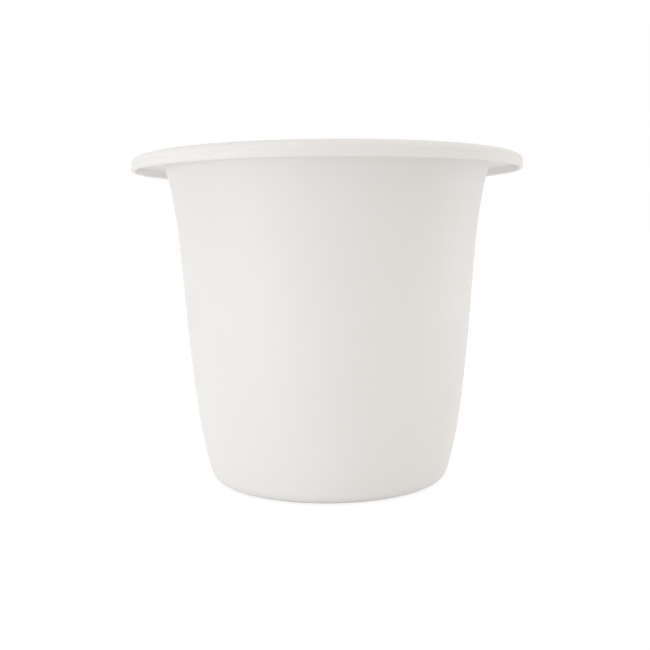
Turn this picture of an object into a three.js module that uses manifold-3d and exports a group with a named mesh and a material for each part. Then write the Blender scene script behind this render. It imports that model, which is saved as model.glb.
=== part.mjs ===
// Round planter: a one-piece moulded pot with a rolled rim, a lift-out drainage grid that keeps
// the soil off the floor, and a rubber plug in each of its drain holes.
// Millimetres and degrees, +Z up. The origin is on the axis, on the ground under the foot.

import * as THREE from "three";
import { mergeVertices, toCreasedNormals } from "three/addons/utils/BufferGeometryUtils.js";
import Module from "manifold-3d";

const wasm = await Module();
wasm.setup();

// Pot: overall sizes
const potHeight = 335.5;
const rimRadius = 200;
const wall = 3.5; // one thickness for wall, floor and rim

// Pot: rolled rim
const rimDrop = 8.4; // from the crown of the rim down to where its side stands upright
const skirtDepth = 6; // upright band below that, hollow behind
const flareRadius = 13.1; // fillet from the wall out under the rim

// Pot: bell-shaped outer face
const neckRadius = 166.6;
const neckLean = 17.6; // from upright, where the flare starts
const neckReach = 73.1; // how far down the wall the neck's lean is felt
const baseLean = 16.2; // from upright, just above the bottom corner
const baseReach = 99.8; // how far up the wall the base's lean is felt
const cornerRadius = 14.2;

// Pot: foot ring and raised floor
const footRadius = 111.9; // outer edge of the flat ring that stands on the ground
const footWidth = 8;
const floorLift = 8; // underside of the raised floor above the ground
const stepCrownRadius = 2.5; // under the floor, where it turns down to the foot
const stepHeelRadius = 1.5; // inside the pot, where the step meets the foot ring
const stepLean = 1; // extra run that keeps the step off upright, so the pot leaves its mould
const grooveWidth = 12; // shallow grooves let drained water out under the foot
const grooveDepth = 1;

// Pot: ribs and gate boss under the floor
const floorRibWidth = 2;
const floorRibDepth = 5;
const gateBossRadius = 14;
const gateBossDepth = 5;
const gateWellRadius = 5;
const gateWellDepth = 1.5;

// Pot: drain holes
const drainPitchRadius = 62;
const drainRadius = 9;
const drainCollarWidth = 5; // collar round the hole, under the floor
const drainCollarDepth = 3;
const drainSeatMargin = 1.5; // sunken seat, past the edge of the plug's head
const drainSeatDepth = 1.5;

// Drain plugs
const plugHeadRadius = 12.5;
const plugHeadThickness = 2.5;
const plugEdgeRadius = 0.8;
const plugClearance = 0.3; // between the sealing beads and the hole
const plugBeadHeight = 0.6; // how far the beads stand out from the stem
const plugBeadPlaces = [0.3, 0.75]; // shares of the way up the hole
const plugTipReach = 1; // how far the stem comes out under the collar
const plugTipTaper = 1.2;
const tabWidth = 10;
const tabHeight = 8.5;
const tabThickness = 3;
const tabHoleRadius = 2;

// Drainage grid: plate and turned-down edge
const reservoirDepth = 36.5; // from the pot's floor up to the plate
const gridThickness = 3;
const gridClearance = 2; // between the grid and the pot's wall
const gridEdgeDepth = 8;
const gridEdgeWall = 2.5;
const gridEdgeRounding = 1.5;
const gridRibWidth = 2;
const gridRibDepth = 6;

// Drainage grid: wick cups and centre post that carry it
const cupPitchRadius = 66;
const cupMouthRadius = 17;
const cupFootRadius = 12;
const cupWall = 2;
const cupDrainRadius = 4;
const cupSlitWidth = 2.5;
const cupSlitMargin = 6; // solid band left above and below each slit
const postRadius = 10;
const postTaper = 1;
const postWall = 2;

// Drainage grid: slots and finger holes
const slotWidth = 3;
const slotLand = 2.2; // least solid left between a slot and anything else
const innerSlotStart = 25;
const innerSlotLength = 17;
const innerSlotCount = 16;
const middleSlotStart = 50;
const middleSlotLength = 32;
const middleSlotCount = 48;
const outerSlotStart = 91;
const outerSlotLength = 27;
const outerSlotCount = 48;
const fingerHoleRadius = 11;
const fingerHolePitchRadius = 75;

// Clearance and copies
const seatGap = 0.3; // between pieces that rest on each other
const drainCount = 4; // as many wick cups and drainage grooves lie between the drains

// Smoothness: facets round the axis
const potFacets = 56;
const boreFacets = 16; // drain holes and the plugs in them, bosses and finger holes
const cupFacets = 16;
const slotEndFacets = 2;
const creaseAngle = 35;

// Heights and places that follow from the sizes above
const floorTop = floorLift + wall;
const seatTop = floorTop - drainSeatDepth;
const collarBottom = floorLift - drainCollarDepth;
const gridBottom = floorTop + reservoirDepth;
const gridTop = gridBottom + gridThickness;
const cupBottom = floorTop + seatGap;

// Angles round the axis. Cups and grooves lie half way between the drains, both sets of ribs
// half way between drains and cups, and the finger holes over two drains.
const radians = THREE.MathUtils.degToRad;
const copyTurn = (count) => (2 * Math.PI) / count;
const evenly = (count, firstAngle) =>
  Array.from({ length: count }, (_, copy) => firstAngle + copy * copyTurn(count));
const drainAngles = evenly(drainCount, 0);
const cupAngles = evenly(drainCount, copyTurn(drainCount) / 2);
const grooveAngles = cupAngles;
const ribCount = 2 * drainCount;
const ribAngles = evenly(ribCount, copyTurn(drainCount) / 4);
const fingerHoleAngles = [drainAngles[0], drainAngles[Math.floor(drainCount / 2)]];

// Solids from geometries

function solidFrom(geometry) {
  const bare = new THREE.BufferGeometry();
  bare.setAttribute("position", geometry.getAttribute("position"));
  bare.setIndex(geometry.getIndex());
  const merged = mergeVertices(bare);
  const mesh = new wasm.Mesh({
    numProp: 3,
    vertProperties: new Float32Array(merged.getAttribute("position").array),
    triVerts: new Uint32Array(merged.getIndex().array),
  });
  return new wasm.Manifold(mesh);
}

function geometryFrom(solid) {
  const { vertProperties, triVerts } = solid.getMesh();
  const geometry = new THREE.BufferGeometry();
  geometry.setAttribute("position", new THREE.BufferAttribute(vertProperties, 3));
  geometry.setIndex(new THREE.BufferAttribute(triVerts, 1));
  return toCreasedNormals(geometry, radians(creaseAngle));
}

const joined = (solids) => solids.reduce((whole, solid) => whole.add(solid));

// A profile of (radius, height) points, with the material on its left, turned about the axis.
function revolved(profile, facets) {
  return solidFrom(new THREE.LatheGeometry(profile, facets).rotateX(Math.PI / 2));
}

// A round post or cutter on the axis, straight or tapered.
function round(bottom, top, bottomRadius, topRadius = bottomRadius, facets = boreFacets) {
  const post = new THREE.CylinderGeometry(topRadius, bottomRadius, top - bottom, facets);
  return post.rotateX(Math.PI / 2).translate(0, 0, (bottom + top) / 2);
}

// A bar that runs outwards from the axis at an angle.
function bar(start, end, width, bottom, top, angle) {
  const shape = new THREE.BoxGeometry(end - start, width, top - bottom);
  return shape.translate((start + end) / 2, 0, (bottom + top) / 2).rotateZ(angle);
}

// Copies of a shape at one radius, one at each angle, joined into one solid.
function ring(geometry, radius, angles) {
  return joined(angles.map((angle) =>
    solidFrom(geometry.clone().translate(radius, 0, 0).rotateZ(angle))));
}

// Bars out from the axis, one at each angle, joined into one solid.
function spokes(angles, start, end, width, bottom, top) {
  return joined(angles.map((angle) => solidFrom(bar(start, end, width, bottom, top, angle))));
}

// The pot's outer skin, from the axis under the floor out to the inside of the rim's skirt, as
// smooth stretches, each with the number of straight pieces that it is drawn with.
function skinStretches() {
  const arc = (x, y, radiusX, radiusY, from, to, clockwise) =>
    new THREE.EllipseCurve(x, y, radiusX, radiusY, from, to, clockwise);
  const line = (x1, y1, x2, y2) =>
    new THREE.LineCurve(new THREE.Vector2(x1, y1), new THREE.Vector2(x2, y2));
  const quarter = Math.PI / 2;

  // Step from the raised floor down to the foot: two arcs and the line that touches both.
  const heelRadius = stepHeelRadius + wall;
  const bothRadii = stepCrownRadius + heelRadius;
  const run = bothRadii + stepLean;
  const rise = floorLift - bothRadii;
  const straight = Math.sqrt(run ** 2 + rise ** 2 - bothRadii ** 2);
  const slope = Math.atan2(bothRadii * run + straight * rise, straight * run - bothRadii * rise);
  const footInner = footRadius - footWidth;
  const floorEdge = footInner - run;
  const crown = arc(floorEdge, floorLift - stepCrownRadius, stepCrownRadius, stepCrownRadius,
    quarter, quarter - slope, true);
  const heel = arc(footInner, heelRadius, heelRadius, heelRadius,
    3 * quarter - slope, 3 * quarter, false);
  const stepLine = new THREE.LineCurve(crown.getPoint(1), heel.getPoint(0));

  // Bottom corner, wall and the flare under the rim.
  const corner = arc(footRadius, cornerRadius, cornerRadius, cornerRadius,
    -quarter, -radians(baseLean), false);
  const crownUnderside = potHeight - wall;
  const flareCentreHeight = crownUnderside - flareRadius;
  const flareCentreRadius = neckRadius + flareRadius * Math.cos(radians(neckLean));
  const flare = arc(flareCentreRadius, flareCentreHeight, flareRadius, flareRadius,
    Math.PI - radians(neckLean), quarter, true);
  const wallStart = corner.getPoint(1);
  const wallEnd = flare.getPoint(0);
  const leanOf = (angle) => new THREE.Vector2(Math.sin(radians(angle)), Math.cos(radians(angle)));
  const side = new THREE.CubicBezierCurve(
    wallStart,
    wallStart.clone().addScaledVector(leanOf(baseLean), baseReach),
    wallEnd.clone().addScaledVector(leanOf(neckLean), -neckReach),
    wallEnd,
  );

  // Underside of the rolled rim and the inside of its skirt.
  const skirtInner = rimRadius - wall;
  const shoulderHeight = potHeight - rimDrop;
  const roll = arc(flareCentreRadius, shoulderHeight, skirtInner - flareCentreRadius,
    rimDrop - wall, quarter, 0, true);

  return [
    [line(0, floorLift, floorEdge, floorLift), 1],
    [crown, 2],
    [stepLine, 1],
    [heel, 2],
    [line(footInner, 0, footRadius, 0), 1],
    [corner, 4],
    [side, 8],
    [flare, 4],
    [roll, 4],
    [line(skirtInner, shoulderHeight, skirtInner, shoulderHeight - skirtDepth), 1],
  ];
}

// Points along the skin, moved into the wall by a depth.
function skinAtDepth(depth) {
  const points = [];
  for (const [curve, pieces] of skinStretches()) {
    for (let piece = points.length ? 1 : 0; piece <= pieces; piece += 1) {
      const along = curve.getTangent(piece / pieces);
      const inward = new THREE.Vector2(-along.y, along.x);
      points.push(curve.getPoint(piece / pieces).addScaledVector(inward, depth));
    }
  }
  points[0].x = 0;
  return points;
}

const outerSkin = skinAtDepth(0);
const innerSkin = skinAtDepth(wall);

// The inner face's radius at a height, on the way up from the foot to the rim.
function innerRadiusAt(height) {
  const foot = innerSkin.findIndex((point) => point.x > footRadius - footWidth / 2);
  const above = innerSkin.findIndex((point, index) => index > foot && point.y >= height);
  const high = innerSkin[above];
  const low = innerSkin[above - 1];
  return THREE.MathUtils.mapLinear(height, low.y, high.y, low.x, high.x);
}

// The pot: the skin and its copy one wall further in, closed by a full round at the skirt's
// edge, with ribs, boss and drain collars under the floor.
function makePotShell() {
  const edgeCentre = outerSkin.at(-1).clone().add(innerSkin.at(-1)).divideScalar(2);
  const edgePieces = 4;
  const edge = new THREE.EllipseCurve(
    edgeCentre.x, edgeCentre.y, wall / 2, wall / 2, Math.PI, 2 * Math.PI, false,
  ).getPoints(edgePieces).slice(1, -1);
  const shell = revolved([...outerSkin, ...edge, ...innerSkin.toReversed()], potFacets);

  // What stands under the floor is trimmed half way into the floor and the step.
  const middle = skinAtDepth(wall / 2).filter((point) => point.x < footRadius - footWidth / 2);
  const trim = revolved([
    new THREE.Vector2(0, 0),
    new THREE.Vector2(middle.at(-1).x, 0),
    ...middle.toReversed(),
  ], potFacets);
  const overlapTop = floorLift + wall / 2;
  const ribStart = (gateWellRadius + gateBossRadius) / 2;
  const ribs = spokes(ribAngles, ribStart, footRadius, floorRibWidth,
    floorLift - floorRibDepth, overlapTop);
  const boss = solidFrom(round(floorLift - gateBossDepth, overlapTop, gateBossRadius));
  const collar = round(collarBottom, overlapTop, drainRadius + drainCollarWidth);
  const collars = ring(collar, drainPitchRadius, drainAngles);

  const gateWellTop = floorLift - gateBossDepth + gateWellDepth;
  const gateWell = solidFrom(round(0, gateWellTop, gateWellRadius));
  const seat = round(seatTop, floorTop + wall, plugHeadRadius + drainSeatMargin);
  const seats = ring(seat, drainPitchRadius, drainAngles);
  const holes = ring(round(0, floorTop, drainRadius), drainPitchRadius, drainAngles);
  const grooves = spokes(grooveAngles, 0, footRadius + cornerRadius, grooveWidth,
    -grooveDepth, grooveDepth);

  return shell
    .add(ribs.intersect(trim))
    .add(boss)
    .add(collars)
    .subtract(gateWell)
    .subtract(seats)
    .subtract(holes)
    .subtract(grooves);
}

// A drain plug, with its own origin on the axis of its hole at the height of the ground:
// a stem with two sealing beads, a head that rests in the sunken seat, and a pull tab.
function makeDrainPlug() {
  const headBottom = seatTop + seatGap;
  const headTop = headBottom + plugHeadThickness;
  const beadRadius = drainRadius - plugClearance;
  const stemRadius = beadRadius - plugBeadHeight;
  const stemBottom = collarBottom - plugTipReach;
  const boreLength = headBottom - collarBottom;
  const beadHeights = plugBeadPlaces.map((share) => collarBottom + share * boreLength);
  const beads = beadHeights.flatMap((height) => [
    [stemRadius, height - plugBeadHeight],
    [beadRadius, height],
    [stemRadius, height + plugBeadHeight],
  ]);
  const profile = [
    [0, stemBottom],
    [stemRadius - plugTipTaper, stemBottom],
    ...beads,
    [stemRadius, headBottom],
    [plugHeadRadius, headBottom],
    [plugHeadRadius, headTop - plugEdgeRadius],
    [plugHeadRadius - plugEdgeRadius, headTop],
    [0, headTop],
  ].map(([radius, height]) => new THREE.Vector2(radius, height));

  const tabRadius = tabWidth / 2;
  const tabFoot = headTop - plugHeadThickness / 2;
  const tabCentre = headTop + tabHeight - tabRadius;
  const outline = new THREE.Shape();
  outline.moveTo(-tabRadius, tabFoot);
  outline.lineTo(tabRadius, tabFoot);
  outline.absarc(0, tabCentre, tabRadius, 0, Math.PI, false);
  outline.closePath();
  const eye = new THREE.Path();
  eye.absarc(0, tabCentre, tabHoleRadius, 0, 2 * Math.PI, false);
  outline.holes.push(eye);
  const tab = new THREE.ExtrudeGeometry(outline, {
    depth: tabThickness,
    bevelEnabled: false,
    curveSegments: boreFacets / 2,
  });
  tab.translate(0, 0, -tabThickness / 2).rotateX(Math.PI / 2);
  return revolved(profile, boreFacets).add(solidFrom(tab));
}

// Round places in the plate where a slot can't go.
const gridKeepOuts = [
  ...cupAngles.map((angle) =>
    ({ angle, pitchRadius: cupPitchRadius, radius: cupMouthRadius + cupWall })),
  ...fingerHoleAngles.map((angle) =>
    ({ angle, pitchRadius: fingerHolePitchRadius, radius: fingerHoleRadius })),
];

// A radial slot fits where it clears the ribs under the plate, the cups and the finger holes.
function slotFits(angle, start, end) {
  const clear = slotWidth / 2 + slotLand;
  const pastRib = THREE.MathUtils.euclideanModulo(angle - ribAngles[0], copyTurn(ribCount));
  const ribDistance = start * Math.sin(Math.min(pastRib, copyTurn(ribCount) - pastRib));
  const slot = new THREE.Line3(
    new THREE.Vector3(start, 0, 0),
    new THREE.Vector3(end, 0, 0),
  );
  const nearest = new THREE.Vector3();
  return ribDistance > clear + gridRibWidth / 2 && gridKeepOuts.every((keepOut) => {
    const turn = keepOut.angle - angle;
    const centre = new THREE.Vector3(Math.cos(turn), Math.sin(turn), 0);
    centre.multiplyScalar(keepOut.pitchRadius);
    slot.closestPointToPoint(centre, true, nearest);
    return nearest.distanceTo(centre) > clear + keepOut.radius;
  });
}

// Radial slots with round ends at those angles where they fit, as outlines in the plate's plane.
function slotRing(start, length, angles) {
  const end = start + length;
  const quarter = Math.PI / 2;
  return angles.filter((angle) => slotFits(angle, start, end)).map((angle) => {
    const at = (radius) => new THREE.Vector2(radius, 0).rotateAround(new THREE.Vector2(), angle);
    const outline = new THREE.Shape();
    outline.absarc(at(end).x, at(end).y, slotWidth / 2, angle - quarter, angle + quarter);
    outline.absarc(at(start).x, at(start).y, slotWidth / 2, angle + quarter, angle - quarter);
    return outline;
  });
}

// The drainage grid: a slotted plate with a turned-down edge that follows the pot's wall, on
// slit wick cups and a hollow centre post, stiffened by ribs.
function makeDrainageGrid() {
  const edgeBottom = gridBottom - gridEdgeDepth;
  const lowRadius = innerRadiusAt(edgeBottom) - gridClearance;
  const highRadius = innerRadiusAt(gridTop) - gridClearance;
  const plate = revolved([
    [0, gridBottom],
    [highRadius - gridEdgeWall, gridBottom],
    [lowRadius - gridEdgeWall, edgeBottom],
    [lowRadius, edgeBottom],
    [highRadius, gridTop - gridEdgeRounding],
    [highRadius - gridEdgeRounding, gridTop],
    [0, gridTop],
  ].map(([radius, height]) => new THREE.Vector2(radius, height)), potFacets);

  // Ribs end inside the turned-down edge.
  const overlapTop = gridBottom + gridThickness / 2;
  const ribReach = solidFrom(round(edgeBottom, gridTop, lowRadius - gridEdgeWall / 2,
    highRadius - gridEdgeWall / 2, potFacets));
  const ribs = spokes(ribAngles, 0, highRadius, gridRibWidth,
    gridBottom - gridRibDepth, overlapTop).intersect(ribReach);

  // Cups and post, first solid and then hollowed.
  const cup = round(cupBottom, overlapTop, cupFootRadius + cupWall, cupMouthRadius + cupWall,
    cupFacets);
  const cupFloor = cupBottom + cupWall;
  const cupHollow = round(cupFloor, gridTop + wall, cupFootRadius, cupMouthRadius, cupFacets);
  const cupDrain = round(0, gridTop, cupDrainRadius);
  const post = round(cupBottom, overlapTop, postRadius, postRadius + postTaper);
  const postHollow = round(0, gridBottom, postRadius - postWall,
    postRadius + postTaper - postWall);
  const slitReach = cupMouthRadius + 2 * cupWall;
  const slitBottom = cupFloor + cupSlitMargin;
  const slitTop = gridBottom - cupSlitMargin;
  const slit = bar(-slitReach, slitReach, cupSlitWidth, slitBottom, slitTop, 0);
  const crossSlit = bar(-slitReach, slitReach, cupSlitWidth, slitBottom, slitTop, Math.PI / 2);
  const hollowed = [cupHollow, cupDrain, slit, crossSlit].map((cutter) =>
    ring(cutter, cupPitchRadius, cupAngles));

  const slots = solidFrom(new THREE.ExtrudeGeometry([
    ...slotRing(innerSlotStart, innerSlotLength,
      evenly(innerSlotCount, copyTurn(innerSlotCount) / 2)),
    ...slotRing(middleSlotStart, middleSlotLength, evenly(middleSlotCount, 0)),
    ...slotRing(outerSlotStart, outerSlotLength, evenly(outerSlotCount, 0)),
  ], { depth: 2 * gridThickness, bevelEnabled: false, curveSegments: slotEndFacets })
    .translate(0, 0, gridBottom - gridThickness / 2));
  const fingerHole = round(edgeBottom, gridTop + wall, fingerHoleRadius);
  const fingerHoles = ring(fingerHole, fingerHolePitchRadius, fingerHoleAngles);

  const solid = plate
    .add(ribs)
    .add(ring(cup, cupPitchRadius, cupAngles))
    .add(solidFrom(post));
  return [...hollowed, solidFrom(postHollow), slots, fingerHoles].reduce(
    (grid, cutter) => grid.subtract(cutter),
    solid,
  );
}

// Materials

const offWhitePlastic = () =>
  new THREE.MeshStandardMaterial({ color: "#e9e6e2", roughness: 0.5, metalness: 0 });
const darkGreyPlastic = () =>
  new THREE.MeshStandardMaterial({ color: "#3b3d3e", roughness: 0.6, metalness: 0 });
const blackRubber = () =>
  new THREE.MeshStandardMaterial({ color: "#1f1f20", roughness: 0.8, metalness: 0 });

function named(name, geometry, material) {
  const mesh = new THREE.Mesh(geometry, material);
  mesh.name = name;
  return mesh;
}

// Assembly

const planter = new THREE.Group();
planter.name = "round_planter";
planter.add(named("pot_shell", geometryFrom(makePotShell()), offWhitePlastic()));
planter.add(named("drainage_grid", geometryFrom(makeDrainageGrid()), darkGreyPlastic()));

const plugGeometry = geometryFrom(makeDrainPlug());
drainAngles.forEach((angle, drain) => {
  const plug = named(`drain_plug_${drain + 1}`, plugGeometry, blackRubber());
  plug.position.x = drainPitchRadius;
  const station = new THREE.Group();
  station.rotation.z = angle;
  station.add(plug);
  planter.add(station);
});

export default planter;
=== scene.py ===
"""Looks for the round planter: fine mouldings, materials, light and camera around the CAD frame.

Sizes are in millimetres, as in the part's source, and become metres on their way into Blender.
Angles are in radians, unless a name or a comment says degrees.
"""

import math

import bmesh
import bpy
import numpy as np
from mathutils import Matrix, Vector


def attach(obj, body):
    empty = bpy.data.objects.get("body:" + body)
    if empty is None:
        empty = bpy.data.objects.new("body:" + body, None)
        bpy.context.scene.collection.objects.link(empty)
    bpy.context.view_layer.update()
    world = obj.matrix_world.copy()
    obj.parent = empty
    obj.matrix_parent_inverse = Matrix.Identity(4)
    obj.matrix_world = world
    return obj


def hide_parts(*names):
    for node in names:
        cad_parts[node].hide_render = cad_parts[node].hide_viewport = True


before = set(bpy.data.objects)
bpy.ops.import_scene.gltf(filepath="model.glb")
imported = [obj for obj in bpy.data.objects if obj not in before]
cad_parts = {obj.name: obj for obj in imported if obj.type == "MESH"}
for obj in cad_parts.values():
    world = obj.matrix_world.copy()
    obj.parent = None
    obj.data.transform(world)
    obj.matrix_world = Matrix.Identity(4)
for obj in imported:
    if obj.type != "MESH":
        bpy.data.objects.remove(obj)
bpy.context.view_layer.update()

MM = 0.001
QUARTER = math.pi / 2

# Pot: overall sizes and rolled rim
POT_HEIGHT = 335.5
RIM_RADIUS = 200
WALL = 3.5
RIM_DROP = 8.4  # from the crown of the rim down to where its side stands upright
SKIRT_DEPTH = 6  # upright band below that, hollow behind
FLARE_RADIUS = 13.1  # from the wall out under the rim
RIM_BEAD_HEIGHT = 1.2  # bead along the rim's lower edge, above the middle of its full round
RIM_BAND_RECESS = 0.35  # how far the band between bead and crown lies back
RIM_BAND_STEP = 0.6  # height of the step down to the band and up from it
RIM_BAND_OUTER_ROUNDING = 0.3
RIM_BAND_INNER_ROUNDING = 0.4

# Pot: bell-shaped wall, angles in degrees from upright
NECK_RADIUS = 166.6
NECK_LEAN = 17.6  # where the flare starts
NECK_REACH = 73.1  # how far down the wall the neck's lean is felt
BASE_LEAN = 16.2  # just above the bottom corner
BASE_REACH = 99.8  # how far up the wall the base's lean is felt
CORNER_RADIUS = 14.2

# Pot: foot ring, raised floor, and run-off grooves under the foot
FOOT_RADIUS = 111.9  # outer edge of the flat ring that stands on the ground
FOOT_WIDTH = 8
FLOOR_LIFT = 8  # underside of the raised floor above the ground
STEP_CROWN_RADIUS = 2.5  # under the floor, where it turns down to the foot
STEP_HEEL_RADIUS = 1.5  # inside the pot, where the step meets the foot ring
STEP_LEAN = 1  # extra run that keeps the step off upright
GROOVE_WIDTH = 12
GROOVE_DEPTH = 1
GROOVE_FLARE = 0.5  # how much wider a groove's mouth is, on each side
GROOVE_BEVEL = 0.4
GROOVE_CUTTER_START = 20  # off the axis, so that the four cutters don't meet
GROOVE_CUTTER_OVERRUN = 20  # past the pot's outside

# Pot: ribs and gate boss under the floor
FLOOR_RIB_WIDTH = 2
FLOOR_RIB_DEPTH = 5
FLOOR_RIB_DRAFT = 0.35
UNDERSIDE_ROUNDING = 0.6  # lower edges of the boss and the drain collars
GATE_BOSS_RADIUS = 14
GATE_BOSS_DEPTH = 5
GATE_WELL_RADIUS = 5
GATE_WELL_DEPTH = 1.5
GATE_WELL_ROUNDING = 0.4
GATE_MARK_RADIUS = 1.6
GATE_MARK_HEIGHT = 0.7
GATE_MARK_ROUNDING = 0.3
GATE_MARK_TAPER = 0.3
GATE_MARK_ROOT = 0.5  # how far the mark reaches into the boss

# Pot: drain holes
DRAIN_PITCH = 62
DRAIN_RADIUS = 9
DRAIN_COLLAR_WIDTH = 5
DRAIN_COLLAR_DEPTH = 3
DRAIN_LOWER_ROUNDING = 0.4
DRAIN_UPPER_ROUNDING = 0.3
DRAIN_SEAT_MARGIN = 1.5  # sunken seat, past the edge of the plug's head
DRAIN_SEAT_DEPTH = 1.5
DRAIN_SEAT_INNER_ROUNDING = 0.4
DRAIN_SEAT_OUTER_ROUNDING = 0.5

# Drain plugs
PLUG_HEAD_RADIUS = 12.5
PLUG_HEAD_THICKNESS = 2.5
PLUG_EDGE_RADIUS = 0.8
PLUG_NECK_ROUNDING = 0.3  # under the head, at the stem and at its lower edge
PLUG_CLEARANCE = 0.3  # between the beads and the hole
PLUG_BEAD_HEIGHT = 0.6  # how far the beads stand out from the stem
PLUG_BEAD_PLACES = (0.3, 0.75)  # shares of the way up the hole
PLUG_BEAD_OUTER_ROUNDING = 0.35
PLUG_BEAD_INNER_ROUNDING = 0.2
PLUG_TIP_REACH = 1  # how far the stem comes out under the collar
PLUG_TIP_TAPER = 1.2
PLUG_TIP_ROUNDING = 0.5
TAB_WIDTH = 10
TAB_HEIGHT = 8.5
TAB_THICKNESS = 3
TAB_EDGE_RADIUS = 0.6
TAB_HOLE_RADIUS = 2
TAB_HOLE_ROUNDING = 0.4

# Drainage grid: plate, turned-down edge and ribs
RESERVOIR_DEPTH = 36.5  # from the pot's floor up to the plate
GRID_THICKNESS = 3
GRID_CLEARANCE = 2  # between the grid and the pot's wall
GRID_EDGE_DEPTH = 8
GRID_EDGE_WALL = 2.5
GRID_EDGE_ROUNDING = 1.5
GRID_EDGE_INNER_ROUNDING = 1  # where the edge turns down from the plate's underside
GRID_EDGE_FOOT_ROUNDINGS = (0.5, 0.8)  # inside and outside
GRID_RIB_WIDTH = 2
GRID_RIB_DEPTH = 6
GRID_RIB_DRAFT = 0.3

# Drainage grid: wick cups and centre post
CUP_PITCH = 66
CUP_MOUTH_RADIUS = 17
CUP_MOUTH_ROUNDING = 0.9
CUP_MOUTH_REACH = 0.95  # the rounding's width, with the wall's lean
CUP_FOOT_RADIUS = 12
CUP_FOOT_ROUNDING = 1.5
CUP_WALL = 2
CUP_DRAIN_RADIUS = 4
CUP_DRAIN_ROUNDING = 0.4
CUP_SLIT_WIDTH = 2.5
CUP_SLIT_MARGIN = 6  # solid band left above and below each slit
POST_RADIUS = 10
POST_TAPER = 1
POST_WALL = 2
POST_FOOT_ROUNDING = 0.6
POST_TOP_ROUNDING = 1.5  # inside

# Drainage grid: slots and finger holes
SLOT_WIDTH = 3
SLOT_LAND = 2.2  # least solid left between a slot and anything else
SLOT_RINGS = ((25, 17, 16, 0.5), (50, 32, 48, 0), (91, 27, 48, 0))  # start, length, count, phase
SLOT_ROUNDINGS = (0.25, 0.5)  # below and above
FINGER_HOLE_RADIUS = 11
FINGER_HOLE_PITCH = 75
FINGER_HOLE_ROUNDINGS = (0.8, 0.9)  # below and above

SEAT_GAP = 0.3  # between pieces that rest on each other
DRAIN_COUNT = 4
CUTTER_OVERRUN = 1  # how far a flared cutter reaches past the faces that it cuts

# Heights that follow
FLOOR_MIDDLE = FLOOR_LIFT + WALL / 2
FLOOR_TOP = FLOOR_LIFT + WALL
BOSS_BOTTOM = FLOOR_LIFT - GATE_BOSS_DEPTH
SEAT_TOP = FLOOR_TOP - DRAIN_SEAT_DEPTH
COLLAR_BOTTOM = FLOOR_LIFT - DRAIN_COLLAR_DEPTH
HEAD_BOTTOM = SEAT_TOP + SEAT_GAP
GRID_BOTTOM = FLOOR_TOP + RESERVOIR_DEPTH
GRID_MIDDLE = GRID_BOTTOM + GRID_THICKNESS / 2
GRID_TOP = GRID_BOTTOM + GRID_THICKNESS
GRID_EDGE_BOTTOM = GRID_BOTTOM - GRID_EDGE_DEPTH
CUP_BOTTOM = FLOOR_TOP + SEAT_GAP
CUP_FLOOR = CUP_BOTTOM + CUP_WALL

# Smoothness: segments are for a full turn, pieces for one curve
POT_SEGMENTS = 288
ROUND_SEGMENTS = 72
SMALL_SEGMENTS = 40
STEP_PIECES = 6
CORNER_PIECES = 14
SIDE_PIECES = 40
FLARE_PIECES = 18
ROLL_PIECES = 24
RIM_EDGE_PIECES = 12
ROUNDING_PIECES = 5
CUTTER_EDGE_PIECES = 3
SLIT_END_PIECES = 8
SLOT_END_PIECES = 6
TAB_END_PIECES = 12
TAB_EDGE_PIECES = 4
CREASE = math.radians(32)  # edges that turn more sharply than this stay sharp
SAME_PLACE = 1e-6  # points nearer to each other than this are one
HAIR = 0.002  # edges shorter than this are collapsed


def evenly(count, first):
    """Angles of copies spread round the axis."""
    return [first + copy * math.tau / count for copy in range(count)]


DRAIN_ANGLES = evenly(DRAIN_COUNT, 0)
CUP_ANGLES = evenly(DRAIN_COUNT, math.pi / DRAIN_COUNT)
RIB_COUNT = 2 * DRAIN_COUNT
RIB_ANGLES = evenly(RIB_COUNT, math.pi / RIB_COUNT)
GROOVE_ANGLES = CUP_ANGLES
FINGER_HOLE_ANGLES = (DRAIN_ANGLES[0], DRAIN_ANGLES[DRAIN_COUNT // 2])


# Flat curves

def arc(x, y, radius_x, radius_y, start, end, pieces):
    """Points along an elliptical arc, and the unit direction at each."""
    turn = np.linspace(start, end, pieces + 1)
    points = np.column_stack([x + radius_x * np.cos(turn), y + radius_y * np.sin(turn)])
    along = np.column_stack([-radius_x * np.sin(turn), radius_y * np.cos(turn)])
    along *= np.sign(end - start)
    return points, along / np.linalg.norm(along, axis=1, keepdims=True)


def line(start, end):
    """Both ends of a straight line, and the unit direction at each."""
    ends = np.array([start, end], float)
    along = ends[1] - ends[0]
    return ends, np.repeat([along / np.linalg.norm(along)], 2, axis=0)


def bezier(corners, pieces):
    """Points along a cubic curve, and the unit direction at each."""
    a, b, c, d = (np.array(corner, float) for corner in corners)
    t = np.linspace(0, 1, pieces + 1)[:, None]
    points = a * (1 - t) ** 3 + 3 * b * t * (1 - t) ** 2 + 3 * c * t ** 2 * (1 - t) + d * t ** 3
    along = (b - a) * (1 - t) ** 2 + 2 * (c - b) * t * (1 - t) + (d - c) * t ** 2
    return points, along / np.linalg.norm(along, axis=1, keepdims=True)


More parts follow.
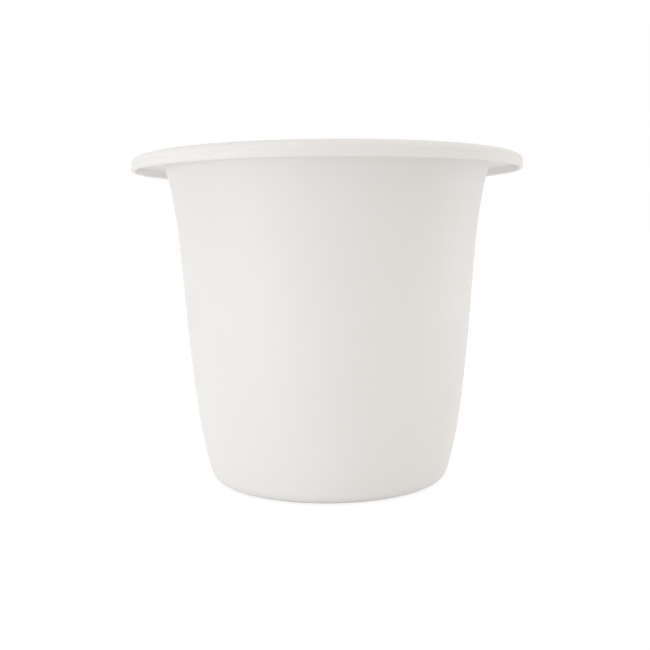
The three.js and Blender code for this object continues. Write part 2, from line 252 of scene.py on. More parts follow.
def rounded(corners):
    """A path through (x, y) corners, each rounded by its own third number where it has one."""
    path = []
    last = len(corners) - 1
    for index, corner in enumerate(corners):
        here = np.array(corner[:2], float)
        radius = corner[2] if len(corner) > 2 else 0
        if radius == 0 or index in (0, last):
            path.append(here)
            continue
        to_last = np.array(corners[index - 1][:2], float) - here
        to_next = np.array(corners[index + 1][:2], float) - here
        to_last /= np.linalg.norm(to_last)
        to_next /= np.linalg.norm(to_next)
        half = math.acos(np.clip(to_last @ to_next, -1, 1)) / 2
        reach = radius / math.tan(half)
        middle = to_last + to_next
        centre = here + middle / np.linalg.norm(middle) * radius / math.sin(half)
        start = here + to_last * reach - centre
        end = here + to_next * reach - centre
        turn = math.atan2(start[0] * end[1] - start[1] * end[0], start @ end)
        for share in np.linspace(0, 1, ROUNDING_PIECES + 1):
            cos, sin = math.cos(turn * share), math.sin(turn * share)
            path.append(centre + [cos * start[0] - sin * start[1], sin * start[0] + cos * start[1]])
    kept = [index for index, point in enumerate(path)
            if index == 0 or np.linalg.norm(point - path[index - 1]) > SAME_PLACE]
    return np.array(path)[kept]


# Meshes

def mesh_object(name, vertices, faces):
    """A new object whose mesh is given in millimetres."""
    mesh = bpy.data.meshes.new(name)
    mesh.from_pydata((np.asarray(vertices, float) * MM).tolist(), [], faces)
    mesh.update()
    made = bpy.data.objects.new(name, mesh)
    bpy.context.scene.collection.objects.link(made)
    return made


def turned(profile, segments=ROUND_SEGMENTS, x=0, angle=0):
    """Vertices and faces of a solid turned about Z, from a path that starts and ends on the axis
    with the material on its left. It stands off the axis by x, at an angle."""
    turns = np.arange(segments) * math.tau / segments
    ring = np.column_stack([np.cos(turns), np.sin(turns)])
    profile = np.asarray(profile, float)
    vertices, rings = [], []
    for radius, height in profile:
        if radius < SAME_PLACE:
            rings.append([len(vertices)] * segments)
            vertices.append((0, 0, height))
        else:
            rings.append(list(range(len(vertices), len(vertices) + segments)))
            vertices.extend((radius * c, radius * s, height) for c, s in ring)
    faces = []
    for low, high in zip(rings, rings[1:]):
        for here in range(segments):
            beside = (here + 1) % segments
            corners = (low[here], low[beside], high[beside], high[here])
            faces.append(tuple(dict.fromkeys(corners)))
    return placed(np.array(vertices), x, angle), faces


def lofted(outlines):
    """Vertices and faces of a solid through matching outlines, flat at both ends."""
    count = len(outlines[0])
    faces = [tuple(range(count))[::-1]]
    for level in range(len(outlines) - 1):
        low, high = level * count, (level + 1) * count
        for here in range(count):
            beside = (here + 1) % count
            faces.append((low + here, low + beside, high + beside, high + here))
    faces.append(tuple(range((len(outlines) - 1) * count, len(outlines) * count)))
    return np.concatenate(outlines), faces


def placed(vertices, x, angle):
    """Vertices moved out along X and then turned about Z."""
    cos, sin = math.cos(angle), math.sin(angle)
    shifted = np.array(vertices, float) + [x, 0, 0]
    return shifted @ np.array([[cos, sin, 0], [-sin, cos, 0], [0, 0, 1]])


def moved(solid, x, angle):
    """A (vertices, faces) pair moved out along X and then turned about Z."""
    vertices, faces = solid
    return placed(vertices, x, angle), faces


def gathered(solids):
    """Several (vertices, faces) pairs as one pair."""
    vertices, faces = [], []
    for solid_vertices, solid_faces in solids:
        start = sum(len(part) for part in vertices)
        vertices.append(solid_vertices)
        faces.extend(tuple(corner + start for corner in face) for face in solid_faces)
    return np.concatenate(vertices), faces


def turned_copies(profile, x, angles):
    """A turned solid x off the axis at each of several angles, as one pair."""
    return gathered([turned(profile, x=x, angle=angle) for angle in angles])


def stadium(start, end, half_width, height, pieces):
    """A round-ended outline along X, counter-clockwise from above, at a height."""
    right = np.linspace(-QUARTER, QUARTER, pieces + 1)
    left = right + math.pi
    x = np.concatenate([end + half_width * np.cos(right), start + half_width * np.cos(left)])
    y = np.concatenate([half_width * np.sin(right), half_width * np.sin(left)])
    return np.column_stack([x, y, np.full_like(x, height)])


def box_outline(start, end, half_width, height):
    """A rectangle along X at a height."""
    return np.array([
        (start, -half_width, height), (end, -half_width, height),
        (end, half_width, height), (start, half_width, height),
    ], float)


def straight_ribs(start, end, bottom, top, width, draft):
    """Radial ribs with a chamfer along their lower edges, one at each rib angle."""
    half = width / 2
    rib = lofted([
        box_outline(start, end, half - 2 * draft, bottom),
        box_outline(start, end, half - draft, bottom + draft),
        box_outline(start, end, half, top),
    ])
    return gathered([moved(rib, 0, angle) for angle in RIB_ANGLES])


def flared(low, high, low_flare, high_flare):
    """(height, growth) pairs for a cutter that rounds the edges it leaves at two faces."""
    turns = np.linspace(0, QUARTER, CUTTER_EDGE_PIECES + 1)
    return [
        (low - CUTTER_OVERRUN, low_flare),
        *((low + low_flare * (1 - math.cos(t)), low_flare * (1 - math.sin(t))) for t in turns),
        *((high - high_flare * (1 - math.cos(t)), high_flare * (1 - math.sin(t)))
          for t in turns[::-1]),
        (high + CUTTER_OVERRUN, high_flare),
    ]


def shaped(base, steps):
    """A mesh object from a (vertices, faces) pair and boolean (operation, pair) steps."""
    made = mesh_object("work", *base)
    for operation, pair in steps:
        tool = mesh_object("tool", *pair)
        cut = made.modifiers.new(operation, "BOOLEAN")
        cut.operation = operation
        cut.solver = "MANIFOLD"
        cut.object = tool
        depsgraph = bpy.context.evaluated_depsgraph_get()
        result = bpy.data.meshes.new_from_object(made.evaluated_get(depsgraph))
        made.modifiers.clear()
        made.data, old = result, made.data
        bpy.data.meshes.remove(old)
        tool_mesh = tool.data
        bpy.data.objects.remove(tool)
        bpy.data.meshes.remove(tool_mesh)
    return made


def shaped_pair(base, steps):
    """The same as shaped, but as a (vertices, faces) pair."""
    made = shaped(base, steps)
    mesh = made.data
    vertices = np.array([vertex.co for vertex in mesh.vertices]) / MM
    faces = [tuple(face.vertices) for face in mesh.polygons]
    bpy.data.objects.remove(made)
    bpy.data.meshes.remove(mesh)
    return vertices, faces


def collapse_hairs(mesh):
    """Takes out the hair-thin edges and faces that cutting leaves along its seams."""
    work = bmesh.new()
    work.from_mesh(mesh)
    bmesh.ops.remove_doubles(work, verts=work.verts, dist=HAIR * MM)
    bmesh.ops.dissolve_degenerate(work, edges=work.edges, dist=HAIR * MM)
    work.to_mesh(mesh)
    work.free()


def finished(made, name, body, node, material):
    """Smooths a piece between its creases and ties it to its body, CAD node and slot."""
    made.name = name
    made.data.name = name
    collapse_hairs(made.data)
    made.data.materials.clear()
    made.data.materials.append(material)
    made.data.shade_smooth()
    made.data.set_sharp_from_angle(angle=CREASE)
    even = made.modifiers.new("even_shading", "WEIGHTED_NORMAL")
    even.keep_sharp = True
    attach(made, body)
    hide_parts(node)


# Pot

def step_arcs():
    """The step from the raised floor down to the foot ring: its crown and its heel, which one
    straight line touches."""
    heel_radius = STEP_HEEL_RADIUS + WALL
    both = STEP_CROWN_RADIUS + heel_radius
    run, rise = both + STEP_LEAN, FLOOR_LIFT - both
    straight = math.sqrt(run ** 2 + rise ** 2 - both ** 2)
    slope = math.atan2(both * run + straight * rise, straight * run - both * rise)
    foot_inner = FOOT_RADIUS - FOOT_WIDTH
    crown = arc(foot_inner - run, FLOOR_LIFT - STEP_CROWN_RADIUS, STEP_CROWN_RADIUS,
                STEP_CROWN_RADIUS, QUARTER, QUARTER - slope, STEP_PIECES)
    heel = arc(foot_inner, heel_radius, heel_radius, heel_radius,
               3 * QUARTER - slope, 3 * QUARTER, STEP_PIECES)
    return crown, heel


def skin_stretches():
    """Smooth stretches of the pot's outer skin, from the axis under the floor to the inside of
    the rim's skirt."""
    crown, heel = step_arcs()
    base_lean, neck_lean = math.radians(BASE_LEAN), math.radians(NECK_LEAN)
    corner = arc(FOOT_RADIUS, CORNER_RADIUS, CORNER_RADIUS, CORNER_RADIUS,
                 -QUARTER, -base_lean, CORNER_PIECES)
    flare_x = NECK_RADIUS + FLARE_RADIUS * math.cos(neck_lean)
    flare_y = POT_HEIGHT - WALL - FLARE_RADIUS
    flare = arc(flare_x, flare_y, FLARE_RADIUS, FLARE_RADIUS,
                math.pi - neck_lean, QUARTER, FLARE_PIECES)
    wall_start, wall_end = corner[0][-1], flare[0][0]
    side = bezier((
        wall_start,
        wall_start + BASE_REACH * np.array([math.sin(base_lean), math.cos(base_lean)]),
        wall_end - NECK_REACH * np.array([math.sin(neck_lean), math.cos(neck_lean)]),
        wall_end,
    ), SIDE_PIECES)
    skirt_x = RIM_RADIUS - WALL
    shoulder = POT_HEIGHT - RIM_DROP
    roll = arc(flare_x, shoulder, skirt_x - flare_x, RIM_DROP - WALL,
               QUARTER, 0, ROLL_PIECES)
    return [
        line((0, FLOOR_LIFT), crown[0][0]),
        crown,
        line(crown[0][-1], heel[0][0]),
        heel,
        line(heel[0][-1], corner[0][0]),
        corner,
        side,
        flare,
        roll,
        line((skirt_x, shoulder), (skirt_x, shoulder - SKIRT_DEPTH)),
    ]


def skin(depth):
    """Points along the skin, moved into the wall by a depth."""
    path = []
    for points, along in skin_stretches():
        deeper = points + depth * np.column_stack([-along[:, 1], along[:, 0]])
        path.extend(deeper[1:] if path else deeper)
    path[0][0] = 0
    return np.array(path)


def inner_radius_at(height):
    """The radius of the pot's inner face at a height, on the way up from the foot."""
    inside = skin(WALL)
    rising = inside[inside[:, 0] > FOOT_RADIUS - FOOT_WIDTH / 2]
    return float(np.interp(height, rising[:, 1], rising[:, 0]))


def rim_band():
    """The rim's upright side, from its lower bead up to its crown."""
    high = POT_HEIGHT - RIM_DROP
    low = high - SKIRT_DEPTH
    bead_top = low + RIM_BEAD_HEIGHT
    crown_foot = high - RIM_BAND_STEP / 2
    recessed = RIM_RADIUS - RIM_BAND_RECESS
    return rounded([
        (RIM_RADIUS, low),
        (RIM_RADIUS, bead_top, RIM_BAND_OUTER_ROUNDING),
        (recessed, bead_top + RIM_BAND_STEP, RIM_BAND_INNER_ROUNDING),
        (recessed, crown_foot - RIM_BAND_STEP, RIM_BAND_INNER_ROUNDING),
        (RIM_RADIUS, crown_foot, RIM_BAND_OUTER_ROUNDING),
        (RIM_RADIUS, high),
    ])


def turned_shell():
    """Wall, floor and foot between the two skins, and the rim with its full round lower edge."""
    outside, inside = skin(0), skin(WALL)
    middle = (outside[-1] + inside[-1]) / 2
    edge = arc(*middle, WALL / 2, WALL / 2, math.pi, 2 * math.pi, RIM_EDGE_PIECES)[0][1:-1]
    crown_inwards = inside[-3::-1]  # the inner skin's last two points lie in the rim's band
    return turned(np.concatenate([outside, edge, rim_band(), crown_inwards]), POT_SEGMENTS)


def floor_ribs():
    """Ribs under the floor, from the gate boss to the middle of the wall at the step."""
    within = skin(WALL / 2)
    within = within[within[:, 0] < FOOT_RADIUS - FOOT_WIDTH / 2]
    trim = turned([(0, 0), (within[-1][0], 0), *within[::-1]], POT_SEGMENTS)
    ribs = straight_ribs(
        (GATE_WELL_RADIUS + GATE_BOSS_RADIUS) / 2, FOOT_RADIUS,
        FLOOR_LIFT - FLOOR_RIB_DEPTH, FLOOR_MIDDLE, FLOOR_RIB_WIDTH, FLOOR_RIB_DRAFT)
    return shaped_pair(ribs, [("INTERSECT", trim)])


def gate_solids():
    """The boss under the middle of the floor, its well, and the mark left where the plastic ran
    in."""
    boss = turned(rounded([
        (0, BOSS_BOTTOM), (GATE_BOSS_RADIUS, BOSS_BOTTOM, UNDERSIDE_ROUNDING),
        (GATE_BOSS_RADIUS, FLOOR_MIDDLE), (0, FLOOR_MIDDLE),
    ]))
    well_mouth = GATE_WELL_RADIUS + GATE_WELL_ROUNDING
    well_top = BOSS_BOTTOM + GATE_WELL_DEPTH
    well = turned(rounded([
        (0, 0), (well_mouth, 0), (well_mouth, BOSS_BOTTOM),
        (GATE_WELL_RADIUS, BOSS_BOTTOM, GATE_WELL_ROUNDING),
        (GATE_WELL_RADIUS, well_top, GATE_WELL_ROUNDING), (0, well_top),
    ]))
    tip, root = well_top - GATE_MARK_HEIGHT, well_top + GATE_MARK_ROOT
    mark = turned(rounded([
        (0, tip), (GATE_MARK_RADIUS, tip, GATE_MARK_ROUNDING),
        (GATE_MARK_RADIUS + GATE_MARK_TAPER, root), (0, root),
    ]), SMALL_SEGMENTS)
    return boss, well, mark


def drain_collars():
    """Collars round the drain holes, under the floor."""
    radius = DRAIN_RADIUS + DRAIN_COLLAR_WIDTH
    return turned_copies(rounded([
        (0, COLLAR_BOTTOM), (radius, COLLAR_BOTTOM, UNDERSIDE_ROUNDING),
        (radius, FLOOR_MIDDLE), (0, FLOOR_MIDDLE),
    ]), DRAIN_PITCH, DRAIN_ANGLES)


def drain_cutters():
    """The drain holes and their sunken seats."""
    mouth = DRAIN_RADIUS + DRAIN_LOWER_ROUNDING
    seat = PLUG_HEAD_RADIUS + DRAIN_SEAT_MARGIN
    seat_mouth = seat + DRAIN_SEAT_OUTER_ROUNDING
    above = FLOOR_TOP + WALL
    return turned_copies(rounded([
        (0, 0), (mouth, 0), (mouth, COLLAR_BOTTOM),
        (DRAIN_RADIUS, COLLAR_BOTTOM, DRAIN_LOWER_ROUNDING),
        (DRAIN_RADIUS, SEAT_TOP, DRAIN_UPPER_ROUNDING),
        (seat, SEAT_TOP, DRAIN_SEAT_INNER_ROUNDING),
        (seat, FLOOR_TOP, DRAIN_SEAT_OUTER_ROUNDING),
        (seat_mouth, FLOOR_TOP), (seat_mouth, above), (0, above),
    ]), DRAIN_PITCH, DRAIN_ANGLES)


def groove_cutters():
    """The run-off grooves across the foot ring."""
    start, end = GROOVE_CUTTER_START, FOOT_RADIUS + CORNER_RADIUS + GROOVE_CUTTER_OVERRUN
    half = GROOVE_WIDTH / 2
    groove = lofted([
        box_outline(start, end, half + GROOVE_FLARE, -GROOVE_DEPTH),
        box_outline(start, end, half + GROOVE_FLARE, 0),
        box_outline(start, end, half, GROOVE_BEVEL),
        box_outline(start, end, half - GROOVE_BEVEL, GROOVE_DEPTH),
    ])
    return gathered([moved(groove, 0, angle) for angle in GROOVE_ANGLES])


def pot_moulding():
    """The pot: its turned shell, the ribs, boss and collars under its floor, and its drains."""
    boss, well, mark = gate_solids()
    return shaped(turned_shell(), [
        ("UNION", floor_ribs()), ("UNION", boss), ("UNION", drain_collars()),
        ("DIFFERENCE", well), ("UNION", mark), ("DIFFERENCE", drain_cutters()),
        ("DIFFERENCE", groove_cutters()),
    ])


# Drainage grid

def slot_fits(angle, start, end):
    """Whether a radial slot clears the ribs, the cups and the finger holes."""
    clear = SLOT_WIDTH / 2 + SLOT_LAND
    rib_turn = math.tau / RIB_COUNT
    past_rib = (angle - RIB_ANGLES[0]) % rib_turn
    if start * math.sin(min(past_rib, rib_turn - past_rib)) <= clear + GRID_RIB_WIDTH / 2:
        return False
    cups = [(cup, CUP_PITCH, CUP_MOUTH_RADIUS + CUP_WALL) for cup in CUP_ANGLES]
    fingers = [(hole, FINGER_HOLE_PITCH, FINGER_HOLE_RADIUS) for hole in FINGER_HOLE_ANGLES]
    for place, pitch, radius in cups + fingers:
        x, y = pitch * math.cos(place - angle), pitch * math.sin(place - angle)
        if math.hypot(x - min(max(x, start), end), y) <= clear + radius:
            return False
    return True


def grid_plate(foot_radius, top_radius):
    """The plate with its turned-down edge, whose outside leans as the pot's wall does."""
    inside, outside = GRID_EDGE_FOOT_ROUNDINGS
    return turned(rounded([
        (0, GRID_BOTTOM), (top_radius - GRID_EDGE_WALL, GRID_BOTTOM, GRID_EDGE_INNER_ROUNDING),
        (foot_radius - GRID_EDGE_WALL, GRID_EDGE_BOTTOM, inside),
        (foot_radius, GRID_EDGE_BOTTOM, outside),
        (top_radius, GRID_TOP, GRID_EDGE_ROUNDING), (0, GRID_TOP),
    ]), POT_SEGMENTS)


def grid_ribs(foot_radius, top_radius):
    """Ribs under the plate, from the post's wall to the middle of the turned-down edge."""
    reach = turned([
        (0, GRID_EDGE_BOTTOM), (foot_radius - GRID_EDGE_WALL / 2, GRID_EDGE_BOTTOM),
        (top_radius - GRID_EDGE_WALL / 2, GRID_TOP), (0, GRID_TOP),
    ], POT_SEGMENTS)
    ribs = straight_ribs(
        POST_RADIUS - POST_WALL / 2, top_radius,
        GRID_BOTTOM - GRID_RIB_DEPTH, GRID_MIDDLE, GRID_RIB_WIDTH, GRID_RIB_DRAFT)
    return shaped_pair(ribs, [("INTERSECT", reach)])


def cups_and_post():
    """The wick cups and the centre post, before they are hollowed out."""
    cup = rounded([
        (0, CUP_BOTTOM), (CUP_FOOT_RADIUS + CUP_WALL, CUP_BOTTOM, CUP_FOOT_ROUNDING),
        (CUP_MOUTH_RADIUS + CUP_WALL, GRID_MIDDLE), (0, GRID_MIDDLE),
    ])
    post = rounded([
        (0, CUP_BOTTOM), (POST_RADIUS, CUP_BOTTOM, POST_FOOT_ROUNDING),
        (POST_RADIUS + POST_TAPER, GRID_MIDDLE), (0, GRID_MIDDLE),
    ])
    return gathered([turned_copies(cup, CUP_PITCH, CUP_ANGLES), turned(post)])


def hollow_cutters():
    """The hollows of cups and post, and the hole in each cup's floor."""
    below, above = CUP_BOTTOM - WALL, GRID_TOP + WALL
    drain = CUP_DRAIN_RADIUS + CUP_DRAIN_ROUNDING
    mouth = CUP_MOUTH_RADIUS + CUP_MOUTH_REACH
    cup = rounded([
        (0, below), (drain, below), (drain, CUP_BOTTOM),
        (CUP_DRAIN_RADIUS, CUP_BOTTOM, CUP_DRAIN_ROUNDING),
        (CUP_DRAIN_RADIUS, CUP_FLOOR, CUP_DRAIN_ROUNDING),
        (CUP_FOOT_RADIUS, CUP_FLOOR, CUP_FOOT_ROUNDING),
        (CUP_MOUTH_RADIUS, GRID_TOP, CUP_MOUTH_ROUNDING),
        (mouth, GRID_TOP), (mouth, above), (0, above),
    ])
    post_inner = POST_RADIUS - POST_WALL
    post = rounded([
        (0, below), (post_inner, below),
        (post_inner + POST_TAPER, GRID_BOTTOM, POST_TOP_ROUNDING), (0, GRID_BOTTOM),
    ])
    return gathered([turned_copies(cup, CUP_PITCH, CUP_ANGLES), turned(post)])


def slit_cutters(turn):
    """One slit right through each cup, turned about the cup's own axis."""
    reach, half = CUP_MOUTH_RADIUS + 2 * CUP_WALL, CUP_SLIT_WIDTH / 2
    low = CUP_FLOOR + CUP_SLIT_MARGIN + half
    high = GRID_BOTTOM - CUP_SLIT_MARGIN - half
    height, across, _ = stadium(low, high, half, 0, SLIT_END_PIECES).T
    slit = lofted([np.column_stack([np.full_like(height, x), across, height])
                   for x in (reach, -reach)])
    return gathered([moved(moved(slit, 0, turn), CUP_PITCH, angle) for angle in CUP_ANGLES])


def plate_cutters():
    """The slots and the finger holes."""
    cutters = []
    steps = flared(GRID_BOTTOM, GRID_TOP, *SLOT_ROUNDINGS)
    for start, length, count, phase in SLOT_RINGS:
        end = start + length
        slot = lofted([stadium(start, end, SLOT_WIDTH / 2 + growth, height, SLOT_END_PIECES)
                       for height, growth in steps])
        cutters += [moved(slot, 0, angle) for angle in evenly(count, phase * math.tau / count)
                    if slot_fits(angle, start, end)]

    below, above = FINGER_HOLE_ROUNDINGS
    low_mouth, high_mouth = FINGER_HOLE_RADIUS + below, FINGER_HOLE_RADIUS + above
    hole = rounded([
        (0, GRID_EDGE_BOTTOM), (low_mouth, GRID_EDGE_BOTTOM), (low_mouth, GRID_BOTTOM),
        (FINGER_HOLE_RADIUS, GRID_BOTTOM, below), (FINGER_HOLE_RADIUS, GRID_TOP, above),
        (high_mouth, GRID_TOP), (high_mouth, GRID_TOP + WALL), (0, GRID_TOP + WALL),
    ])
    return gathered([*cutters, turned_copies(hole, FINGER_HOLE_PITCH, FINGER_HOLE_ANGLES)])


def grid_moulding():
    """The drainage grid: slotted plate, turned-down edge, ribs, wick cups and centre post."""
    foot_radius = inner_radius_at(GRID_EDGE_BOTTOM) - GRID_CLEARANCE
    top_radius = inner_radius_at(GRID_TOP) - GRID_CLEARANCE
    return shaped(grid_plate(foot_radius, top_radius), [
        ("UNION", grid_ribs(foot_radius, top_radius)), ("UNION", cups_and_post()),
        ("DIFFERENCE", hollow_cutters()),
        ("DIFFERENCE", slit_cutters(0)), ("DIFFERENCE", slit_cutters(QUARTER)),
        ("DIFFERENCE", plate_cutters()),
    ])


# Drain plugs

def plug_body():
    """The plug's beaded stem and head, as a path to be turned."""
    head_top = HEAD_BOTTOM + PLUG_HEAD_THICKNESS
    bead_radius = DRAIN_RADIUS - PLUG_CLEARANCE
    stem_radius = bead_radius - PLUG_BEAD_HEIGHT
    tip = COLLAR_BOTTOM - PLUG_TIP_REACH
    corners = [(0, tip), (stem_radius - PLUG_TIP_TAPER, tip, PLUG_TIP_ROUNDING)]
    for share in PLUG_BEAD_PLACES:
        height = COLLAR_BOTTOM + share * (HEAD_BOTTOM - COLLAR_BOTTOM)
        corners += [
            (stem_radius, height - PLUG_BEAD_HEIGHT, PLUG_BEAD_INNER_ROUNDING),
            (bead_radius, height, PLUG_BEAD_OUTER_ROUNDING),
            (stem_radius, height + PLUG_BEAD_HEIGHT, PLUG_BEAD_INNER_ROUNDING),
        ]
    corners += [
        (stem_radius, HEAD_BOTTOM, PLUG_NECK_ROUNDING),
        (PLUG_HEAD_RADIUS, HEAD_BOTTOM, PLUG_NECK_ROUNDING),
        (PLUG_HEAD_RADIUS, head_top, PLUG_EDGE_RADIUS), (0, head_top),
    ]
    return rounded(corners)


def plug_tab():
    """The pull tab, and the cutter for its eye."""
    head_top = HEAD_BOTTOM + PLUG_HEAD_THICKNESS
    radius, half = TAB_WIDTH / 2, TAB_THICKNESS / 2
    foot = head_top - PLUG_HEAD_THICKNESS / 2
    centre = head_top + TAB_HEIGHT - radius

    def upright(start, round_radius, place):
        """A round-ended outline stood up across the tab's thickness."""
        height, across, along = stadium(start, centre, round_radius, place, TAB_END_PIECES).T
        return np.column_stack([across, along, height])

    levels = [(-half + TAB_EDGE_RADIUS * (1 - math.cos(t)), TAB_EDGE_RADIUS * (1 - math.sin(t)))
              for t in np.linspace(0, QUARTER, TAB_EDGE_PIECES + 1)]
    levels += [(-place, inset) for place, inset in levels[::-1]]
    tab = lofted([upright(foot, radius - inset, place) for place, inset in levels])
    eye = lofted([upright(centre, TAB_HOLE_RADIUS + growth, place)
                  for place, growth in flared(-half, half, TAB_HOLE_ROUNDING, TAB_HOLE_ROUNDING)])
    return tab, eye


def plug_moulding(angle):
    """A drain plug at its station: beaded stem, head, and a pull tab with an eye."""
    tab, eye = plug_tab()
    return shaped(turned(plug_body(), x=DRAIN_PITCH, angle=angle), [
        ("UNION", moved(tab, DRAIN_PITCH, angle)),
        ("DIFFERENCE", moved(eye, DRAIN_PITCH, angle)),
    ])


# Materials

POT_COLOURS = ((0.816, 0.802, 0.789), (0.801, 0.786, 0.772))
POT_ROUGHNESS = (0.44, 0.52)
POT_SPECULAR = 0.45
GRID_COLOURS = ((0.040, 0.043, 0.045), (0.052, 0.055, 0.057))
GRID_SPECK_COLOUR = (0.095, 0.098, 0.100)
GRID_ROUGHNESS = (0.50, 0.66)
RUBBER_COLOURS = ((0.012, 0.012, 0.013), (0.030, 0.030, 0.031))
RUBBER_ROUGHNESS = (0.68, 0.86)
RUBBER_SHEEN = 0.08


def new_tree(name):
    """A new material, its node tree, its shader and the place of a point on the piece."""
    material = bpy.data.materials.new(name)
    material.use_nodes = True
    tree = material.node_tree
    shader = next(node for node in tree.nodes if node.type == "BSDF_PRINCIPLED")
    place = tree.nodes.new("ShaderNodeTexCoord").outputs["Object"]
    return material, tree, shader, place


def noise(tree, place, size, detail, roughness=0.5):
    """Noise whose blotches are about this many millimetres across."""
    node = tree.nodes.new("ShaderNodeTexNoise")
    node.inputs["Scale"].default_value = 1 / (size * MM)
    node.inputs["Detail"].default_value = detail
    node.inputs["Roughness"].default_value = roughness
    tree.links.new(place, node.inputs["Vector"])
    return node.outputs["Fac"]


def spread(tree, value, low, high, from_low=0.3, from_high=0.7):
    """A noise value spread over a range, cut off at both ends."""
    node = tree.nodes.new("ShaderNodeMapRange")
    node.inputs["From Min"].default_value = from_low
    node.inputs["From Max"].default_value = from_high
    node.inputs["To Min"].default_value = low
    node.inputs["To Max"].default_value = high
    tree.links.new(value, node.inputs["Value"])
    return node.outputs["Result"]


def mixed(tree, value, first, second):
    """One colour or another, by a value; either may be a fixed colour or a socket."""
    node = tree.nodes.new("ShaderNodeMix")
    node.data_type = "RGBA"
    tree.links.new(value, node.inputs["Factor"])
    colours = [socket for socket in node.inputs if socket.type == "RGBA"]
    for socket, colour in zip(colours, (first, second)):
        if isinstance(colour, bpy.types.NodeSocket):
            tree.links.new(colour, socket)
        else:
            socket.default_value = (*colour, 1)
    return next(socket for socket in node.outputs if socket.type == "RGBA")


def bumped(tree, shader, layers):
    """Surface relief from (height socket, depth in millimetres) layers, the broadest first."""
    normal = None
    for height, depth in layers:
        node = tree.nodes.new("ShaderNodeBump")
        node.inputs["Strength"].default_value = 1
        node.inputs["Distance"].default_value = depth * MM
        tree.links.new(height, node.inputs["Height"])
        if normal:
            tree.links.new(normal, node.inputs["Normal"])
        normal = node.outputs["Normal"]
    tree.links.new(normal, shader.inputs["Normal"])


def pot_plastic():
    """Off-white moulded plastic: a satin skin with a fine grain and a faint, broad waviness."""
    material, tree, shader, place = new_tree("pot_plastic")
    clouds = noise(tree, place, size=140, detail=1)
    colour = mixed(tree, spread(tree, clouds, 0, 1), *POT_COLOURS)
    tree.links.new(colour, shader.inputs["Base Color"])
    smears = noise(tree, place, size=18, detail=3, roughness=0.6)
    tree.links.new(spread(tree, smears, *POT_ROUGHNESS), shader.inputs["Roughness"])
    shader.inputs["Specular IOR Level"].default_value = POT_SPECULAR
    bumped(tree, shader, [
        (noise(tree, place, size=26, detail=1), 0.05),
        (noise(tree, place, size=0.9, detail=3), 0.012),
    ])
    return material


def grid_plastic():
    """Dark grey plastic: mottled as recycled stock is, with a fine matt grain."""
    material, tree, shader, place = new_tree("grid_plastic")
    clouds = spread(tree, noise(tree, place, size=45, detail=3), 0, 1)
    colour = mixed(tree, clouds, *GRID_COLOURS)
    specks = spread(tree, noise(tree, place, size=1.1, detail=1), 0, 0.5,
                    from_low=0.64, from_high=0.72)
    colour = mixed(tree, specks, colour, GRID_SPECK_COLOUR)
    tree.links.new(colour, shader.inputs["Base Color"])
    smears = noise(tree, place, size=9, detail=3, roughness=0.6)
    tree.links.new(spread(tree, smears, *GRID_ROUGHNESS), shader.inputs["Roughness"])
    bumped(tree, shader, [
        (noise(tree, place, size=14, detail=1), 0.04),
        (noise(tree, place, size=0.6, detail=3), 0.02),
    ])
    return material


def plug_rubber():
    """Black rubber: matt, with a grey bloom in patches."""
    material, tree, shader, place = new_tree("plug_rubber")
    bloom = spread(tree, noise(tree, place, size=5, detail=4, roughness=0.65), 0, 1,
                   from_low=0.4, from_high=0.75)
    colour = mixed(tree, bloom, *RUBBER_COLOURS)
    tree.links.new(colour, shader.inputs["Base Color"])
    dulled = spread(tree, bloom, *RUBBER_ROUGHNESS, from_low=0, from_high=1)
    tree.links.new(dulled, shader.inputs["Roughness"])
    shader.inputs["Sheen Weight"].default_value = RUBBER_SHEEN
    bumped(tree, shader, [(noise(tree, place, size=0.35, detail=3), 0.02)])
    return material


# Stage, light and camera

GROUND_RADIUS = 6000
GROUND_DEPTH = 0.3  # under the pot's foot
GROUND_THICKNESS = 1
GROUND_END_PIECES = 48
GROUND_COLOUR = (0.95, 0.95, 0.95)
GROUND_WHITE_SHARE = 0.75  # how far the shade on the ground fades towards the white backdrop
GROUND_WHITE = 1.1

AMBIENT_COLOUR = (1.0, 0.97, 0.94)
AMBIENT_STRENGTH = 0.813

MIDDLE = (0, 0, POT_HEIGHT / 2)
LAMPS = {  # place, aim, size, spread in degrees, power in watts, colour
    "high_left": ((-985, -174, 1900), MIDDLE, (1400, 1400), 180, 4.6, (0.92, 0.98, 1.0)),
    "low_left": ((-1149, -964, 168), MIDDLE, (1200, 300), 180, 4.26, (0.9, 0.95, 1.0)),
    "low_right": ((1477, 260, 168), MIDDLE, (1200, 300), 180, 2.05, (0.95, 0.97, 1.0)),
    "floor_behind": ((0, 800, 1000), (0, 800, 0), (600, 600), 70, 4.05, (0.95, 0.97, 1.0)),
    "foot_right": ((450, -350, 900), (120, -110, 0), (300, 300), 30, 0.03, (1.0, 1.0, 1.0)),
}

LENS = 50.79
CAMERA_PLACE = (-3.5, -968, 252.7)
CAMERA_PITCH = 0.0955  # downwards
CAMERA_ROLL = 0.0095  # clockwise


def seen_directly(tree):
    """1 for what the camera, a reflection or a clear material sees, and 0 for light falling
    on the object."""
    path = tree.nodes.new("ShaderNodeLightPath")
    seen = path.outputs["Is Camera Ray"]
    for other in ("Is Glossy Ray", "Is Transmission Ray"):
        either = tree.nodes.new("ShaderNodeMath")
        either.operation = "MAXIMUM"
        tree.links.new(seen, either.inputs[0])
        tree.links.new(path.outputs[other], either.inputs[1])
        seen = either.outputs[0]
    return seen


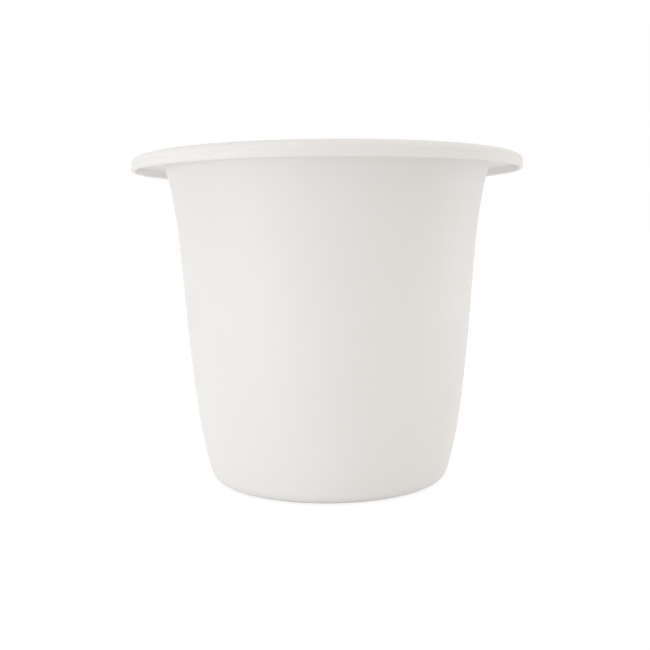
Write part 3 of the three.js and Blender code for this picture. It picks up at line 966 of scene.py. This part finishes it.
def make_floor():
    """A plain pale ground that stays white where the object casts no shade."""
    floor = mesh_object("floor", *lofted([
        stadium(0, 0, GROUND_RADIUS, height, GROUND_END_PIECES)
        for height in (-GROUND_DEPTH - GROUND_THICKNESS, -GROUND_DEPTH)]))
    material = bpy.data.materials.new("floor_paper")
    material.use_nodes = True
    tree = material.node_tree
    tree.nodes.clear()
    paper = tree.nodes.new("ShaderNodeBsdfDiffuse")
    paper.inputs["Color"].default_value = (*GROUND_COLOUR, 1)
    glow = tree.nodes.new("ShaderNodeEmission")
    glow.inputs["Strength"].default_value = GROUND_WHITE
    share = tree.nodes.new("ShaderNodeMath")
    share.operation = "MULTIPLY"
    share.inputs[1].default_value = GROUND_WHITE_SHARE
    tree.links.new(seen_directly(tree), share.inputs[0])
    both = tree.nodes.new("ShaderNodeMixShader")
    tree.links.new(share.outputs[0], both.inputs[0])
    tree.links.new(paper.outputs[0], both.inputs[1])
    tree.links.new(glow.outputs[0], both.inputs[2])
    output = tree.nodes.new("ShaderNodeOutputMaterial")
    tree.links.new(both.outputs[0], output.inputs["Surface"])
    floor.data.materials.append(material)


def make_world():
    """Even studio light from all round, with a white backdrop."""
    world = bpy.data.worlds.new("studio")
    world.use_nodes = True
    tree = world.node_tree
    tree.nodes.clear()
    ambient = tree.nodes.new("ShaderNodeBackground")
    ambient.inputs["Color"].default_value = (*AMBIENT_COLOUR, 1)
    ambient.inputs["Strength"].default_value = AMBIENT_STRENGTH
    backdrop = tree.nodes.new("ShaderNodeBackground")
    backdrop.inputs["Color"].default_value = (1, 1, 1, 1)
    both = tree.nodes.new("ShaderNodeMixShader")
    tree.links.new(seen_directly(tree), both.inputs[0])
    tree.links.new(ambient.outputs[0], both.inputs[1])
    tree.links.new(backdrop.outputs[0], both.inputs[2])
    output = tree.nodes.new("ShaderNodeOutputWorld")
    tree.links.new(both.outputs[0], output.inputs["Surface"])
    bpy.context.scene.world = world


def make_lamps():
    """Soft rectangular lamps round the pot. The one over the floor behind it lights the rim from
    below."""
    for name, (place, aim, size, spread_degrees, power, colour) in LAMPS.items():
        lamp = bpy.data.lights.new(name, "AREA")
        lamp.shape = "RECTANGLE"
        lamp.size, lamp.size_y = (side * MM for side in size)
        lamp.energy = power
        lamp.color = colour
        lamp.spread = math.radians(spread_degrees)
        made = bpy.data.objects.new(name, lamp)
        bpy.context.scene.collection.objects.link(made)
        made.location = Vector(place) * MM
        made.rotation_mode = "QUATERNION"
        made.rotation_quaternion = (Vector(place) - Vector(aim)).to_track_quat("Z", "Y")


def make_camera():
    """The camera at the photograph's place, a little below the rim."""
    camera = bpy.data.cameras.new("camera")
    camera.lens = LENS
    made = bpy.data.objects.new("camera", camera)
    bpy.context.scene.collection.objects.link(made)
    forward = Vector((0, math.cos(CAMERA_PITCH), -math.sin(CAMERA_PITCH)))
    level_up = Vector((0, math.sin(CAMERA_PITCH), math.cos(CAMERA_PITCH)))
    level_right = Vector((1, 0, 0))
    cos, sin = math.cos(CAMERA_ROLL), math.sin(CAMERA_ROLL)
    right = cos * level_right - sin * level_up
    up = sin * level_right + cos * level_up
    matrix = Matrix((right, up, -forward)).transposed().to_4x4()
    matrix.translation = [along * MM for along in CAMERA_PLACE]
    made.matrix_world = matrix
    bpy.context.scene.camera = made


# The scene

make_camera()
bpy.context.scene.view_settings.view_transform = "Standard"
make_world()
make_floor()
make_lamps()

off_white, dark_grey, black = pot_plastic(), grid_plastic(), plug_rubber()
finished(pot_moulding(), "pot_moulding", "pot", "pot_shell", off_white)
finished(grid_moulding(), "grid_moulding", "grid", "drainage_grid", dark_grey)
for number, drain_angle in enumerate(DRAIN_ANGLES, 1):
    finished(plug_moulding(drain_angle), f"plug_moulding_{number}", f"plug_{number}",
             f"drain_plug_{number}", black)
